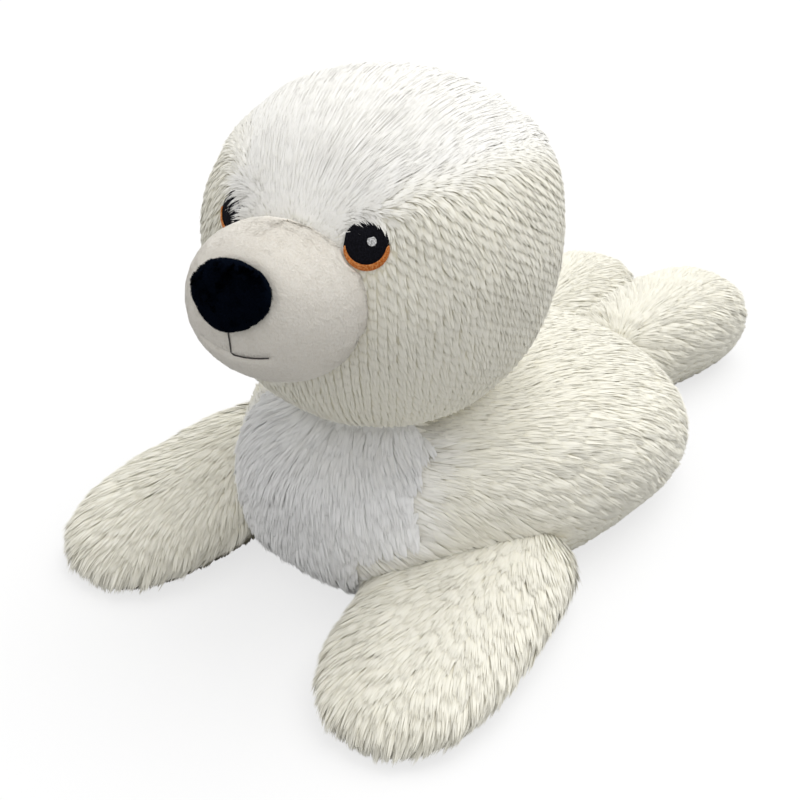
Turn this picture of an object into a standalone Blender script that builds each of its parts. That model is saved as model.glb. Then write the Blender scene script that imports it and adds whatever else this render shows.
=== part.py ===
"""Plush seal that lies on its belly with its head up, its two front flippers spread before it
and its two hind flippers together behind. Metres, +Z up, the seal faces -Y and its left is +X."""

import math

import bmesh
import bpy
from mathutils import Matrix, Vector

# Clearance between neighbouring pieces
GAP = 0.0003

# Body, a low rounded sack with a flat belly
BODY_WIDTH = 0.220
BODY_LENGTH = 0.252
BODY_HEIGHT = 0.094
BELLY_FLAT = 0.010

# White chest panel, sewn over the front of the body between the flippers
CHEST_PANEL_WIDTH = 0.112
CHEST_PANEL_THICKNESS = 0.004
CHEST_PANEL_DEPTH = 0.045
CHEST_PANEL_TAPER = 0.7
CHEST_PANEL_LOW_EDGE = 0.004
CHEST_PANEL_CLEARANCE = 0.0015

# Head, a ball that sits on the front of the body and is turned a little to its left
HEAD_WIDTH = 0.157
HEAD_DEPTH = 0.168
HEAD_HEIGHT = 0.157
CROWN_FULLNESS = 0.14
HEAD_TURN = math.radians(9.0)
HEAD_FROM_CHEST = 0.072
NECK_SINK = 0.012

# Forehead panel of longer pile, sewn over the crown
FOREHEAD_PANEL_WIDTH = 0.113
FOREHEAD_PANEL_THICKNESS = 0.003
FOREHEAD_PANEL_LOW_EDGE = 0.012

# Muzzle of short velour, turned a little less than the head
MUZZLE_WIDTH = 0.078
MUZZLE_HEIGHT = 0.066
MUZZLE_REACH = 0.034
MUZZLE_RISE = 0.0125
MUZZLE_TURN = math.radians(-0.8)

# Padded velvet nose
NOSE_WIDTH = 0.0365
NOSE_HEIGHT = 0.028
NOSE_THICKNESS = 0.015
NOSE_RISE = 0.0155
NOSE_TILT = math.radians(26.0)
NOSE_TAPER = 0.30

# Mouth, stitched with one thick thread
THREAD_DIAMETER = 0.0011
MOUTH_WIDTH = 0.031
MOUTH_DROP = 0.011
MOUTH_CURVE = 0.002

# Embroidered eyes
EYE_SPACING = 0.0605
EYE_RISE = 0.037
PUPIL_DIAMETER = 0.0176
RIM_WIDTH = 0.0026
GLINT_DIAMETER = 0.0043
GLINT_ASIDE = 0.0026
GLINT_RISE = 0.0016
EMBROIDERY_THICKNESS = 0.0009
EYE_CLEARANCE = 0.002

# Front flippers
FRONT_FLIPPER_WIDTH = 0.088
FRONT_FLIPPER_LENGTH = 0.149
FRONT_FLIPPER_HEIGHT = 0.034
FRONT_FLIPPER_SPREAD = math.radians(6.0)
FRONT_FLIPPER_ROOT_SPACING = 0.144
FRONT_FLIPPER_REACH = 0.057

# Hind flippers, of which the right one lies flatter
HIND_FLIPPER_WIDTH = 0.071
HIND_FLIPPER_LENGTH = 0.150
HIND_FLIPPER_HEIGHT = {"left": 0.060, "right": 0.046}
HIND_FLIPPER_SPREAD = math.radians(13.0)
HIND_FLIPPER_ROOT_SPACING = 0.024
HIND_FLIPPER_REACH = 0.103

FLIPPER_FLAT = 0.003
SIDES = {"left": 1, "right": -1}

# Squareness of a soft form's sections: the power that their sines are raised to, 1 being round
ROUND_SECTION = 0.84
BODY_LOW_SECTION = 0.66

# Shape of the body from chest to tail. Each section gives its place as a share of the length, its half
# width as a share of half the width, and its top and its underside as shares of the height.
BODY_SECTIONS = (
    (0.00, 0.14, 0.60, 0.42),
    (0.01, 0.30, 0.72, 0.30),
    (0.05, 0.44, 0.86, 0.18),
    (0.12, 0.56, 0.97, 0.06),
    (0.26, 0.77, 1.00, 0.00),
    (0.44, 0.96, 0.98, 0.00),
    (0.60, 1.00, 0.93, 0.00),
    (0.74, 0.97, 0.83, 0.00),
    (0.86, 0.86, 0.70, 0.00),
    (0.96, 0.62, 0.56, 0.03),
    (1.00, 0.34, 0.42, 0.10),
)
# Shapes of the flippers from root to tip, in the same way
FRONT_FLIPPER_SECTIONS = (
    (0.00, 0.60, 0.92, 0.00),
    (0.10, 0.86, 1.16, 0.00),
    (0.32, 0.96, 1.10, 0.00),
    (0.60, 1.00, 1.00, 0.00),
    (0.82, 0.88, 0.86, 0.00),
    (0.95, 0.58, 0.66, 0.04),
    (1.00, 0.28, 0.48, 0.14),
)
HIND_FLIPPER_SECTIONS = (
    (0.00, 0.52, 0.66, 0.00),
    (0.14, 0.78, 0.82, 0.00),
    (0.38, 0.90, 0.92, 0.00),
    (0.66, 1.00, 1.00, 0.00),
    (0.87, 0.90, 0.94, 0.04),
    (0.97, 0.62, 0.76, 0.14),
    (1.00, 0.30, 0.58, 0.28),
)
# Edge of the forehead panel from front to nape: share of the head's depth and of the panel's half width
FOREHEAD_OUTLINE = (
    (-0.56, 0.40),
    (-0.44, 0.44),
    (-0.34, 0.50),
    (-0.27, 0.62),
    (-0.20, 0.80),
    (-0.10, 0.90),
    (0.04, 1.00),
    (0.24, 1.00),
    (0.40, 0.78),
    (0.53, 0.36),
)

COLOURS = {
    "plush_cream": (0.83, 0.80, 0.70),
    "plush_white": (0.87, 0.87, 0.85),
    "velour_beige": (0.76, 0.70, 0.62),
    "velvet_black": (0.008, 0.009, 0.016),
    "embroidery_black": (0.010, 0.010, 0.016),
    "embroidery_orange": (0.62, 0.20, 0.03),
    "embroidery_white": (0.88, 0.88, 0.88),
    "thread_grey": (0.10, 0.09, 0.09),
}


def clear_scene():
    for item in list(bpy.data.objects):
        bpy.data.objects.remove(item, do_unlink=True)


def new_collection(name):
    collection = bpy.data.collections.new(name)
    bpy.context.scene.collection.children.link(collection)
    return collection


def new_empty(name, place, turn, parent):
    empty = bpy.data.objects.new(name, None)
    empty.location = place
    empty.rotation_euler = (0.0, 0.0, turn)
    empty.parent = parent
    SEAL.objects.link(empty)
    return empty


def new_material(name):
    material = bpy.data.materials.new(name)
    material.use_nodes = True
    shader = material.node_tree.nodes["Principled BSDF"]
    shader.inputs["Base Color"].default_value = (*COLOURS[name], 1.0)
    shader.inputs["Roughness"].default_value = 0.9
    shader.inputs["Metallic"].default_value = 0.0
    return material


def new_guide(name, mesh, parent):
    """A form that other pieces are made from or cut by, and that is no piece itself."""
    guide = bpy.data.objects.new(name, mesh)
    guide.parent = parent
    guide.hide_render = True
    guide.display_type = "WIRE"
    GUIDES.objects.link(guide)
    return guide


def new_piece(name, mesh, parent, material):
    piece = bpy.data.objects.new(name, mesh)
    piece.parent = parent
    piece.data.materials.clear()
    piece.data.materials.append(bpy.data.materials[material])
    piece.data.shade_smooth()
    SEAL.objects.link(piece)
    return piece


def settled_mesh(item):
    """The mesh that an object's modifiers give, with the object itself removed."""
    graph = bpy.context.evaluated_depsgraph_get()
    mesh = bpy.data.meshes.new_from_object(item.evaluated_get(graph))
    bpy.data.objects.remove(item, do_unlink=True)
    return mesh


def flat_faced(mesh):
    """The same mesh in triangles, which stay flat when the form is grown and so cut cleanly."""
    faces = bmesh.new()
    faces.from_mesh(mesh)
    bmesh.ops.triangulate(faces, faces=faces.faces[:])
    faces.to_mesh(mesh)
    faces.free()
    return mesh


def boolean(item, operation, other):
    modifier = item.modifiers.new(f"{operation.lower()} {other.name}", "BOOLEAN")
    modifier.operation = operation
    modifier.solver = "EXACT"
    modifier.object = other


def grown(form, amount):
    """A copy of a form whose surface lies further out by an amount."""
    guide = new_guide(f"{form.name} + {amount * 1000:.1f} mm", form.data.copy(), form.parent)
    guide.matrix_basis = form.matrix_basis
    modifier = guide.modifiers.new("grow", "DISPLACE")
    modifier.strength = amount
    modifier.mid_level = 0.0
    return guide


def ball_form(name, size, place, tilt, parent, cuts=2, roundness=0.9, fullness=0.0):
    """A soft ball of a given width, depth and height, from a subdivided cube. Fullness widens it upwards."""
    cage = bmesh.new()
    bmesh.ops.create_cube(cage, size=2.0)
    bmesh.ops.subdivide_edges(cage, edges=cage.edges[:], cuts=cuts, use_grid_fill=True)
    mesh = bpy.data.meshes.new(name)
    cage.to_mesh(mesh)
    cage.free()
    ball = new_guide(name, mesh, None)
    smooth = ball.modifiers.new("soften", "SUBSURF")
    smooth.levels = smooth.render_levels = 2
    cast = ball.modifiers.new("round", "CAST")
    cast.factor = roundness
    mesh = settled_mesh(ball)
    half = max(vertex.co.x for vertex in mesh.vertices)
    for vertex in mesh.vertices:
        vertex.co.x *= 1.0 + fullness * max(vertex.co.z, 0.0) / half
    mesh.transform(Matrix.Diagonal([extent / (2.0 * half) for extent in size]).to_4x4())
    form = new_guide(name, flat_faced(mesh), parent)
    form.location = place
    form.rotation_euler = (tilt, 0.0, 0.0)
    return form


def loft_form(name, sections, width, length, height, flat, parent, low_section=ROUND_SECTION):
    """A soft form from a cage of rounded rings along +Y. It reaches below z = 0 by flat."""
    segments = 12
    swell = 3.0 / (2.0 + math.cos(math.tau / segments))
    cage = bmesh.new()
    rings = []
    for along, wide, high, low in sections:
        top = high * height
        bottom = low * height - flat
        middle = (top + bottom) / 2.0
        ring = []
        for step in range(segments):
            angle = math.tau * (step + 0.5) / segments
            power = ROUND_SECTION if math.sin(angle) > 0.0 else low_section
            across = math.copysign(abs(math.cos(angle)) ** power, math.cos(angle))
            upward = math.copysign(abs(math.sin(angle)) ** power, math.sin(angle))
            ring.append(
                cage.verts.new(
                    (
                        swell * wide * width / 2.0 * across,
                        along * length,
                        middle + swell * (top - bottom) / 2.0 * upward,
                    )
                )
            )
        rings.append(ring)
    for near, far in zip(rings, rings[1:]):
        for step in range(segments):
            following = (step + 1) % segments
            cage.faces.new((near[step], near[following], far[following], far[step]))
    cage.faces.new(reversed(rings[0]))
    cage.faces.new(rings[-1])
    bmesh.ops.recalc_face_normals(cage, faces=cage.faces[:])
    mesh = bpy.data.meshes.new(name)
    cage.to_mesh(mesh)
    cage.free()
    loft = new_guide(name, mesh, None)
    smooth = loft.modifiers.new("soften", "SUBSURF")
    smooth.levels = smooth.render_levels = 1
    return new_guide(name, flat_faced(settled_mesh(loft)), parent)


def prism_guide(name, outline, low, high, axes, parent):
    """A straight prism through a closed outline. Axes turns the outline's plane to where it is used."""
    curve = bpy.data.curves.new(name, "CURVE")
    curve.dimensions = "2D"
    curve.fill_mode = "BOTH"
    curve.extrude = (high - low) / 2.0
    spline = curve.splines.new("POLY")
    spline.points.add(len(outline) - 1)
    for point, (across, along) in zip(spline.points, outline):
        point.co = (across, along, 0.0, 1.0)
    spline.use_cyclic_u = True
    mesh = settled_mesh(new_guide(name, curve, None))
    mesh.transform(Matrix.Translation((0.0, 0.0, (low + high) / 2.0)))
    welded = bmesh.new()
    welded.from_mesh(mesh)
    bmesh.ops.remove_doubles(welded, verts=welded.verts[:], dist=0.00001)
    bmesh.ops.recalc_face_normals(welded, faces=welded.faces[:])
    welded.to_mesh(mesh)
    welded.free()
    mesh.transform(axes)
    return new_guide(name, mesh, parent)


def rod_guide(name, diameter, length, place, direction, parent):
    """A straight round rod that starts at a place and points along a direction."""
    rod = bmesh.new()
    bmesh.ops.create_cone(
        rod, cap_ends=True, segments=32, radius1=diameter / 2.0, radius2=diameter / 2.0, depth=length
    )
    turn = direction.to_track_quat("Z", "Y").to_matrix().to_4x4()
    middle = place + direction.normalized() * length / 2.0
    bmesh.ops.transform(rod, matrix=Matrix.Translation(middle) @ turn, verts=rod.verts[:])
    mesh = bpy.data.meshes.new(name)
    rod.to_mesh(mesh)
    rod.free()
    return new_guide(name, mesh, parent)


def box_guide(name, low, high, parent):
    """A box between its lowest and its highest corner."""
    middle = (Vector(high) + Vector(low)) / 2.0
    stretch = Matrix.Diagonal(Vector(high) - Vector(low)).to_4x4()
    box = bmesh.new()
    bmesh.ops.create_cube(box, size=1.0)
    bmesh.ops.transform(box, matrix=Matrix.Translation(middle) @ stretch, verts=box.verts[:])
    mesh = bpy.data.meshes.new(name)
    box.to_mesh(mesh)
    box.free()
    return new_guide(name, mesh, parent)


def on_head(across, upward):
    """The point of the head's front at a place across and above its middle, and the way out of it."""
    half = Vector((HEAD_WIDTH, HEAD_DEPTH, HEAD_HEIGHT)) / 2.0
    rest = 1.0 - (across / half.x) ** 2 - (upward / half.z) ** 2
    place = Vector((across, -half.y * math.sqrt(rest), upward))
    return place, Vector([place[k] / half[k] ** 2 for k in range(3)]).normalized()


def cut_by(piece, cutters):
    for cutter in cutters:
        boolean(piece, "DIFFERENCE", cutter)
    return piece


def whole_piece(name, form, material, cutters):
    """A piece with a form's own shape, cut back where its neighbours are."""
    piece = new_piece(name, form.data.copy(), form.parent, material)
    piece.matrix_basis = form.matrix_basis
    return cut_by(piece, cutters)


def patch_piece(name, form, inside, outside, region, material, cutters=()):
    """A layer over part of a form, from one height above the form's surface to another."""
    place = form.matrix_basis.copy()
    piece = new_piece(name, settled_mesh(grown(form, outside)), form.parent, material)
    piece.matrix_basis = place
    boolean(piece, "INTERSECT", cut_by(region, cutters))
    return cut_by(piece, [grown(form, inside)])


def surface_point(form, across, upward, above):
    """The point above a form's front surface at a place across and above the middle of its parent."""
    back = form.matrix_basis.inverted()
    start = back @ Vector((across, -1.0, upward))
    hit, place, normal, _ = form.ray_cast(start, Vector((0.0, 1.0, 0.0)))
    if not hit:
        raise ValueError(f"{form.name} has no surface at {across:.3f}, {upward:.3f}")
    return form.matrix_basis @ (place + normal * above)


def thread_piece(name, points, parent):
    """A round thread that lies along points."""
    curve = bpy.data.curves.new(name, "CURVE")
    curve.dimensions = "3D"
    curve.bevel_depth = THREAD_DIAMETER / 2.0
    curve.bevel_resolution = 1
    curve.use_fill_caps = True
    spline = curve.splines.new("POLY")
    spline.points.add(len(points) - 1)
    for point, place in zip(spline.points, points):
        point.co = (*place, 1.0)
    mesh = settled_mesh(new_guide(name, curve, None))
    welded = bmesh.new()
    welded.from_mesh(mesh)
    bmesh.ops.remove_doubles(welded, verts=welded.verts[:], dist=0.00001)
    welded.to_mesh(mesh)
    welded.free()
    return new_piece(name, mesh, parent, "thread_grey")


def mirrored_outline(half):
    """A closed outline from the points of its right half, as (across, along)."""
    return [(across, along) for across, along in half] + [(-across, along) for across, along in reversed(half)]


def make_body_form(seal):
    size = (BODY_WIDTH, BODY_LENGTH, BODY_HEIGHT)
    return loft_form("body form", BODY_SECTIONS, *size, BELLY_FLAT, seal, low_section=BODY_LOW_SECTION)


def make_flipper_forms(seal):
    """The four flipper forms, each laid from its root to its tip."""
    forms = {}
    front_root = FRONT_FLIPPER_LENGTH * math.cos(FRONT_FLIPPER_SPREAD) - FRONT_FLIPPER_REACH
    hind_root = BODY_LENGTH + HIND_FLIPPER_REACH - HIND_FLIPPER_LENGTH * math.cos(HIND_FLIPPER_SPREAD)
    roots = {
        "front": (FRONT_FLIPPER_ROOT_SPACING / 2.0, front_root, math.pi + FRONT_FLIPPER_SPREAD),
        "hind": (HIND_FLIPPER_ROOT_SPACING / 2.0, hind_root, -HIND_FLIPPER_SPREAD),
    }
    for side, sign in SIDES.items():
        sizes = {
            "front": (FRONT_FLIPPER_SECTIONS, FRONT_FLIPPER_WIDTH, FRONT_FLIPPER_LENGTH, FRONT_FLIPPER_HEIGHT),
            "hind": (HIND_FLIPPER_SECTIONS, HIND_FLIPPER_WIDTH, HIND_FLIPPER_LENGTH, HIND_FLIPPER_HEIGHT[side]),
        }
        for end, size in sizes.items():
            form = loft_form(f"{side} {end} flipper form", *size, FLIPPER_FLAT, seal)
            across, along, turn = roots[end]
            place = Matrix.Translation((sign * across, along, 0.0))
            form.matrix_basis = place @ Matrix.Rotation(sign * turn, 4, "Z")
            forms[side, end] = form
    return forms


def make_flippers(forms, body_cutter, floor):
    behind = 2.0 * BODY_LENGTH + HIND_FLIPPER_LENGTH
    for (side, end), form in forms.items():
        cutters = [floor, body_cutter]
        if end == "hind":
            low, high = sorted((-SIDES[side] * BODY_WIDTH, SIDES[side] * GAP / 2.0))
            limits = (low, 0.0, -BODY_HEIGHT), (high, behind, 2.0 * BODY_HEIGHT)
            cutters.append(box_guide(f"{side} middle", *limits, floor.parent))
        whole_piece(f"{side}_{end}_flipper", form, "plush_cream", cutters)


def flipper_inner_edge():
    """How far the front flippers' inner edges stay from the seal's middle."""
    sideways = FRONT_FLIPPER_LENGTH * math.sin(FRONT_FLIPPER_SPREAD)
    root = FRONT_FLIPPER_ROOT_SPACING / 2.0
    return min(
        root + along * sideways - wide * FRONT_FLIPPER_WIDTH / 2.0
        for along, wide, high, low in FRONT_FLIPPER_SECTIONS
    )


def make_chest_panel(body_form, head_cutter):
    half = CHEST_PANEL_WIDTH / 2.0
    foot = min(half, flipper_inner_edge() - CHEST_PANEL_CLEARANCE)
    flipper_top = FRONT_FLIPPER_HEIGHT * max(high for along, wide, high, low in FRONT_FLIPPER_SECTIONS)
    shoulder = flipper_top + CHEST_PANEL_CLEARANCE
    outline = mirrored_outline(
        [
            (foot, CHEST_PANEL_LOW_EDGE),
            (foot, shoulder),
            (half, shoulder + (half - foot) / 2.0),
            (half * CHEST_PANEL_TAPER, BODY_HEIGHT + 2.0 * CHEST_PANEL_THICKNESS),
        ]
    )
    front = Matrix(((1, 0, 0, 0), (0, 0, -1, 0), (0, 1, 0, 0), (0, 0, 0, 1)))
    region = prism_guide(
        "chest region", outline, -CHEST_PANEL_DEPTH, CHEST_PANEL_DEPTH, front, body_form.parent
    )
    patch_piece("chest_panel", body_form, GAP, CHEST_PANEL_THICKNESS, region, "plush_white", [head_cutter])


def make_forehead_panel(head_form, muzzle_cutter):
    half = FOREHEAD_PANEL_WIDTH / 2.0
    outline = mirrored_outline([(half * wide, HEAD_DEPTH * along) for along, wide in FOREHEAD_OUTLINE])
    region = prism_guide(
        "forehead region", outline, FOREHEAD_PANEL_LOW_EDGE, HEAD_HEIGHT, Matrix.Identity(4), head_form.parent
    )
    cutters = [muzzle_cutter, *eye_cutters("eye clearance", EYE_CLEARANCE, head_form.parent)]
    patch_piece("forehead_panel", head_form, GAP, FOREHEAD_PANEL_THICKNESS, region, "plush_white", cutters)


def make_nose(muzzle_form):
    rise = MUZZLE_RISE + NOSE_RISE
    front = surface_point(muzzle_form, 0.0, rise, 0.0)
    form = ball_form(
        "nose form",
        (NOSE_WIDTH, NOSE_THICKNESS, NOSE_HEIGHT),
        front,
        -NOSE_TILT,
        muzzle_form.parent,
        cuts=1,
    )
    for vertex in form.data.vertices:
        lowered = max(-vertex.co.z / (NOSE_HEIGHT / 2.0), 0.0)
        vertex.co.x *= 1.0 - NOSE_TAPER * lowered
    whole_piece("nose", form, "velvet_black", [grown(muzzle_form, GAP)])
    return form


def make_mouth(muzzle_form, nose_form):
    above = GAP + THREAD_DIAMETER / 2.0
    middle = MUZZLE_RISE + NOSE_RISE
    low = middle - NOSE_HEIGHT / 2.0 - MOUTH_DROP
    top = middle - NOSE_HEIGHT / 2.0
    steps = 8
    line = [
        surface_point(muzzle_form, 0.0, top + (low + THREAD_DIAMETER + GAP - top) * step / steps, above)
        for step in range(steps + 1)
    ]
    thread = thread_piece("mouth_line", line, muzzle_form.parent)
    cut_by(thread, [grown(nose_form, GAP)])
    smile = []
    for step in range(-steps, steps + 1):
        across = MOUTH_WIDTH / 2.0 * step / steps
        upward = low + MOUTH_CURVE * (step / steps) ** 2
        smile.append(surface_point(muzzle_form, across, upward, above))
    thread_piece("mouth_smile", smile, muzzle_form.parent)


def eye_rod(name, side, diameter, lowered, parent):
    """A rod through the head's skin at an eye, as wide as what is embroidered there."""
    place, out = on_head(SIDES[side] * EYE_SPACING / 2.0, EYE_RISE)
    start = place - out * PUPIL_DIAMETER - Vector((0.0, 0.0, lowered))
    return rod_guide(f"{side} {name}", diameter, 2.0 * PUPIL_DIAMETER, start, out, parent)


def make_eye(side, head_form):
    """An embroidered pupil, a crescent under it and a glint on it."""
    parent = head_form.parent
    low, high = GAP, GAP + EMBROIDERY_THICKNESS
    pupil_region = eye_rod("pupil region", side, PUPIL_DIAMETER, 0.0, parent)
    patch_piece(f"{side}_eye_pupil", head_form, low, high, pupil_region, "embroidery_black")

    rim_region = eye_rod("rim region", side, PUPIL_DIAMETER + RIM_WIDTH, RIM_WIDTH / 2.0, parent)
    bore = eye_rod("rim bore", side, PUPIL_DIAMETER + 2.0 * GAP, 0.0, parent)
    top = (HEAD_WIDTH, 0.0, HEAD_HEIGHT)
    above = box_guide(f"{side} rim limit", (-HEAD_WIDTH, -HEAD_DEPTH, EYE_RISE), top, parent)
    patch_piece(f"{side}_eye_rim", head_form, low, high, rim_region, "embroidery_orange", [bore, above])

    low, high = high + GAP, high + GAP + EMBROIDERY_THICKNESS
    glint_region = eye_rod("glint region", side, GLINT_DIAMETER, -GLINT_RISE, parent)
    glint_region.location.x = GLINT_ASIDE
    patch_piece(f"{side}_eye_glint", head_form, low, high, glint_region, "embroidery_white")


def eye_cutters(name, clearance, parent):
    """Rods that keep a neighbour clear of both eyes."""
    diameter = PUPIL_DIAMETER + RIM_WIDTH + 2.0 * clearance
    return [eye_rod(name, side, diameter, RIM_WIDTH / 2.0, parent) for side in SIDES]


def stand_at_origin(seal):
    """Moves the whole seal so that the middle of its box's underside is at the origin."""
    bpy.context.view_layer.update()
    graph = bpy.context.evaluated_depsgraph_get()
    corners = []
    for piece in SEAL.objects:
        if piece.type == "MESH":
            shown = piece.evaluated_get(graph)
            corners += [shown.matrix_world @ vertex.co for vertex in shown.data.vertices]
    low = Vector([min(corner[k] for corner in corners) for k in range(3)])
    high = Vector([max(corner[k] for corner in corners) for k in range(3)])
    seal.location = (-(low.x + high.x) / 2.0, -(low.y + high.y) / 2.0, -low.z)


def main():
    clear_scene()
    for name in COLOURS:
        new_material(name)
    seal = new_empty("seal", (0.0, 0.0, 0.0), 0.0, None)
    head_place = (0.0, HEAD_FROM_CHEST, BODY_HEIGHT - NECK_SINK + HEAD_HEIGHT / 2.0)
    head_axes = new_empty("head axes", head_place, HEAD_TURN, seal)
    muzzle_axes = new_empty("muzzle axes", head_place, HEAD_TURN + MUZZLE_TURN, seal)
    room = BODY_WIDTH + BODY_LENGTH
    floor = box_guide("floor", (-room, -room, -BODY_HEIGHT), (room, 2.0 * room, 0.0), seal)

    body_form = make_body_form(seal)
    head_size = (HEAD_WIDTH, HEAD_DEPTH, HEAD_HEIGHT)
    head_form = ball_form("head form", head_size, (0, 0, 0), 0.0, head_axes, fullness=CROWN_FULLNESS)
    muzzle_place = (0.0, -HEAD_DEPTH / 2.0, MUZZLE_RISE)
    muzzle_size = (MUZZLE_WIDTH, 2.0 * MUZZLE_REACH, MUZZLE_HEIGHT)
    muzzle_form = ball_form("muzzle form", muzzle_size, muzzle_place, 0.0, muzzle_axes, cuts=1)
    flipper_forms = make_flipper_forms(seal)
    head_cutter = grown(head_form, GAP)
    muzzle_cutter = grown(muzzle_form, GAP)

    whole_piece("body", body_form, "plush_cream", [floor, head_cutter])
    whole_piece("head", head_form, "plush_cream", [])
    muzzle_cutters = [head_cutter, *eye_cutters("muzzle notch", GAP, head_axes)]
    whole_piece("muzzle", muzzle_form, "velour_beige", muzzle_cutters)
    make_chest_panel(body_form, head_cutter)
    make_flippers(flipper_forms, grown(body_form, GAP), floor)
    for side in SIDES:
        make_eye(side, head_form)
    make_forehead_panel(head_form, muzzle_cutter)
    nose_form = make_nose(muzzle_form)
    make_mouth(muzzle_form, nose_form)
    stand_at_origin(seal)


clear_scene()
SEAL = new_collection("plush seal")
GUIDES = new_collection("guides")
if __name__ == "__main__":
    main()
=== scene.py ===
"""Looks of a plush seal: the pile of its plush, its velour muzzle, velvet nose and embroidered face.

Metres, +Z up. The seal faces -Y and lies on z = 0."""

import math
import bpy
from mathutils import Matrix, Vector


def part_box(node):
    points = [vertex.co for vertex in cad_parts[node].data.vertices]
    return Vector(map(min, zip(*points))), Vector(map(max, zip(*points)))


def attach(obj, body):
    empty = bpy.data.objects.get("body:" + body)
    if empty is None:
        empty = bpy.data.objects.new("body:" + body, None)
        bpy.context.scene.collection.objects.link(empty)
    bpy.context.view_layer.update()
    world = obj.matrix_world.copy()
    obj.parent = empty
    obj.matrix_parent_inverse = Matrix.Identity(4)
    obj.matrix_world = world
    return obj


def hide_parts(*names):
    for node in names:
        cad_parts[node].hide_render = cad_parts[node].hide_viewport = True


bl_info = {
    "name": "Plush seal",
    "version": (1, 0, 0),
    "blender": (4, 5, 0),
    "location": "View3D > Sidebar > Seal",
    "description": "Dresses the solids of a plush seal in pile, velour, velvet and embroidery",
    "category": "Object",
}

import bmesh
import bpy
import numpy as np
from bpy.props import FloatProperty, FloatVectorProperty, IntProperty, PointerProperty
from bpy.types import Operator, Panel, PropertyGroup
from mathutils import Vector, noise
from mathutils.bvhtree import BVHTree
from mathutils.kdtree import KDTree

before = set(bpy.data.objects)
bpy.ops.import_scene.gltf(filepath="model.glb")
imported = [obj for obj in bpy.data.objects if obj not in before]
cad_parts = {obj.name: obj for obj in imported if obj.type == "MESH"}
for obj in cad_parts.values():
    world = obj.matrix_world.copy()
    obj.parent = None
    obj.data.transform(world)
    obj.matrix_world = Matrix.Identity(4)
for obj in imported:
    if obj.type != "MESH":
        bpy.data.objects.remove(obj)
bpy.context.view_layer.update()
UP = np.array((0.0, 0.0, 1.0))
DOWN = -UP
BACK = np.array((0.0, 1.0, 0.0))
LEFT = np.array((1.0, 0.0, 0.0))
SIDES = {"left": 1.0, "right": -1.0}
MERGE = 0.00001

# The head is turned a little to the seal's left
HEAD_TURN = math.radians(9.0)
HEAD_FRONT = np.array((math.sin(HEAD_TURN), -math.cos(HEAD_TURN), 0.0))
HEAD_LEFT = np.array((math.cos(HEAD_TURN), math.sin(HEAD_TURN), 0.0))


def node_mesh(node):
    """A merged copy of a solid's mesh."""
    mesh = bmesh.new()
    mesh.from_mesh(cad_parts[node].data)
    bmesh.ops.remove_doubles(mesh, verts=mesh.verts[:], dist=MERGE)
    return mesh


def node_tree(node):
    mesh = node_mesh(node)
    tree = BVHTree.FromBMesh(mesh)
    mesh.free()
    return tree


TREES = {node: node_tree(node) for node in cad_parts}


def middle_of(node):
    low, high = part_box(node)
    return np.array((low + high) / 2.0)


HEAD_MIDDLE = middle_of("head")
HEAD_RADIUS = float((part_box("head")[1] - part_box("head")[0]).z / 2.0)


def length_size(name, description, default):
    return FloatProperty(name=name, description=description, default=default, unit="LENGTH", precision=4)


def share_size(name, description, default):
    return FloatProperty(name=name, description=description, default=default, min=0.0, max=1.0)


def count_size(name, description, default):
    return FloatProperty(name=name, description=description, default=default, min=0.0)


def colour_value(name, description, default):
    return FloatVectorProperty(name=name, description=description, default=default, subtype="COLOR", size=3)


class SealSizes(PropertyGroup):
    """Lengths and densities of the seal's cloths"""

    skin_depth: length_size("Skin depth", "How far the plush's backing lies under the solid", 0.0003)
    body_pile: length_size("Body pile", "Length of the pile on the body", 0.0118)
    flipper_pile: length_size("Flipper pile", "Length of the pile on the flippers", 0.0110)
    cheek_pile: length_size("Cheek pile", "Length of the pile on the head's sides", 0.0072)
    forehead_pile: length_size("Forehead pile", "Length of the silky pile on the forehead", 0.0140)
    chest_pile: length_size("Chest pile", "Length of the pile on the chest", 0.0105)
    velour_nap: length_size("Velour nap", "Length of the muzzle's nap", 0.0013)
    velvet_nap: length_size("Velvet nap", "Length of the nose's nap", 0.0015)
    blade_width: length_size("Lock width", "Width of a lock of plush pile", 0.00105)
    silky_width: length_size("Silky lock width", "Width of a lock of the forehead's pile", 0.00085)
    tuft_spacing: length_size("Tuft spacing", "Distance between the tufts that the pile falls into", 0.0046)
    row_width: length_size("Row width", "Distance between the rows of tufts on the cheeks", 0.0036)
    row_length: length_size("Row length", "Length of a tuft along its row on the cheeks", 0.0043)
    plush_density: count_size("Plush density", "Locks on each square centimetre of plush", 134.0)
    silky_density: count_size("Silky density", "Locks on each square centimetre of the forehead", 380.0)
    nap_density: count_size("Nap density", "Tufts on each square centimetre of velour", 600.0)
    velvet_density: count_size("Velvet density", "Tufts on each square centimetre of velvet", 1200.0)
    thread: length_size("Thread", "Radius of the embroidery thread", 0.00026)
    seed: IntProperty(name="Seed", description="Changes every random lock", default=7)


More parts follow.
